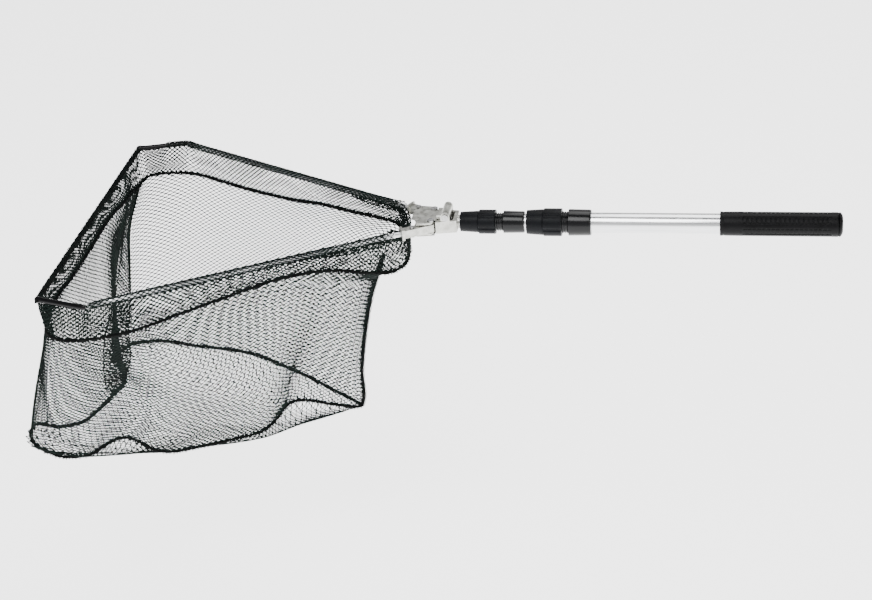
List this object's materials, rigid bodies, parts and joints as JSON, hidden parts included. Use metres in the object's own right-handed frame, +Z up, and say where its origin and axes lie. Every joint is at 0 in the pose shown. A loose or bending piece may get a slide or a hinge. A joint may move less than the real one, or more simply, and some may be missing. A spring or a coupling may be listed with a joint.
{
  "type": "landing net",
  "caption": "Folding triangular landing net with a mesh bag, two swinging arms, a folding head and a telescopic twist-lock handle.",
  "frame": {"origin": "middle of the hand grip, on the handle's axis", "axes": "+X along the handle towards the butt, the hoop lies at -X; +Z up, the bag hangs towards -Z; Y across the hoop"},
  "size_m": [0.9055, 0.3998, 0.2804],
  "materials": {
    "tube": "polished drawn tube",
    "rod": "satin",
    "head_metal": "plated pressed metal",
    "pin_steel": "plated",
    "lock_plastic": "moulded, half gloss",
    "bush_plastic": "moulded",
    "tip_plastic": "moulded, half gloss",
    "grip": "moulded soft plastic with ribs",
    "netting": "knotless mesh",
    "cord": "braided cord"
  },
  "bodies": {
    "butt_section": {"butt_tube": "tube", "grip": "grip", "butt_plug": "grip", "rear_collar": "lock_plastic", "rear_collet": "lock_plastic"},
    "rear_nut": {"rear_lock_nut": "lock_plastic"},
    "mid_section": {"mid_tube": "tube", "mid_bush": "bush_plastic", "front_collar": "lock_plastic", "front_collet": "lock_plastic"},
    "front_nut": {"front_lock_nut": "lock_plastic"},
    "top_section": {"top_tube": "tube", "top_bush": "bush_plastic", "head_fork": "head_metal", "head_pin": "pin_steel", "fold_pin": "pin_steel", "lock_spring": "pin_steel"},
    "fold_button": {"lock_button": "pin_steel"},
    "hoop_carrier": {"yoke": "head_metal", "arm_pivot_left": "pin_steel", "arm_pivot_right": "pin_steel"},
    "arm_left": {"arm_socket_left": "head_metal", "arm_rod_left": "rod", "rod_rivet_left": "pin_steel", "corner_tip_left": "tip_plastic", "front_cord_left": "cord", "bag_side_left": "netting", "bag_corner_left": "netting", "bag_front_left": "netting", "bag_floor_left": "netting", "bag_throat_left": "netting"},
    "arm_right": {"arm_socket_right": "head_metal", "arm_rod_right": "rod", "rod_rivet_right": "pin_steel", "corner_tip_right": "tip_plastic", "front_cord_right": "cord", "bag_side_right": "netting", "bag_corner_right": "netting", "bag_front_right": "netting", "bag_floor_right": "netting", "bag_throat_right": "netting"}
  },
  "joints": [
    {"name": "rear_nut_turn", "type": "hinge", "parent": "butt_section", "child": "rear_nut", "pos_m": [-0.243, 0, 0], "axis": [1, 0, 0], "range_deg": [0, 180]},
    {"name": "mid_slide", "type": "slide", "parent": "butt_section", "child": "mid_section", "axis": [-1, 0, 0], "range_m": [0, 0.23]},
    {"name": "front_nut_turn", "type": "hinge", "parent": "mid_section", "child": "front_nut", "pos_m": [-0.325, 0, 0], "axis": [1, 0, 0], "range_deg": [0, 180]},
    {"name": "top_slide", "type": "slide", "parent": "mid_section", "child": "top_section", "axis": [-1, 0, 0], "range_m": [0, 0.29]},
    {"name": "fold_button_press", "type": "slide", "parent": "top_section", "child": "fold_button", "axis": [0, -1, 0], "range_m": [0, 0.002], "stiffness_N_per_m": 800, "springref_m": -0.002, "deforming": ["lock_spring"]},
    {"name": "head_fold", "type": "hinge", "parent": "top_section", "child": "hoop_carrier", "pos_m": [-0.36, 0, 0.012], "axis": [0, 1, 0], "range_deg": [0, 180]},
    {"name": "arm_left_swing", "type": "hinge", "parent": "hoop_carrier", "child": "arm_left", "pos_m": [-0.376, -0.014, 0], "axis": [0, 0, -1], "range_deg": [0, 24], "deforming": ["bag_side_left", "bag_corner_left", "bag_front_left", "bag_floor_left", "bag_throat_left", "front_cord_left"]},
    {"name": "arm_right_swing", "type": "hinge", "parent": "hoop_carrier", "child": "arm_right", "pos_m": [-0.376, 0.014, 0], "axis": [0, 0, 1], "range_deg": [0, 24], "deforming": ["bag_side_right", "bag_corner_right", "bag_front_right", "bag_floor_right", "bag_throat_right", "front_cord_right"]}
  ],
  "couplings": [
    {"joint": "arm_right_swing", "follows": "arm_left_swing", "ratio": 1}
  ]
}
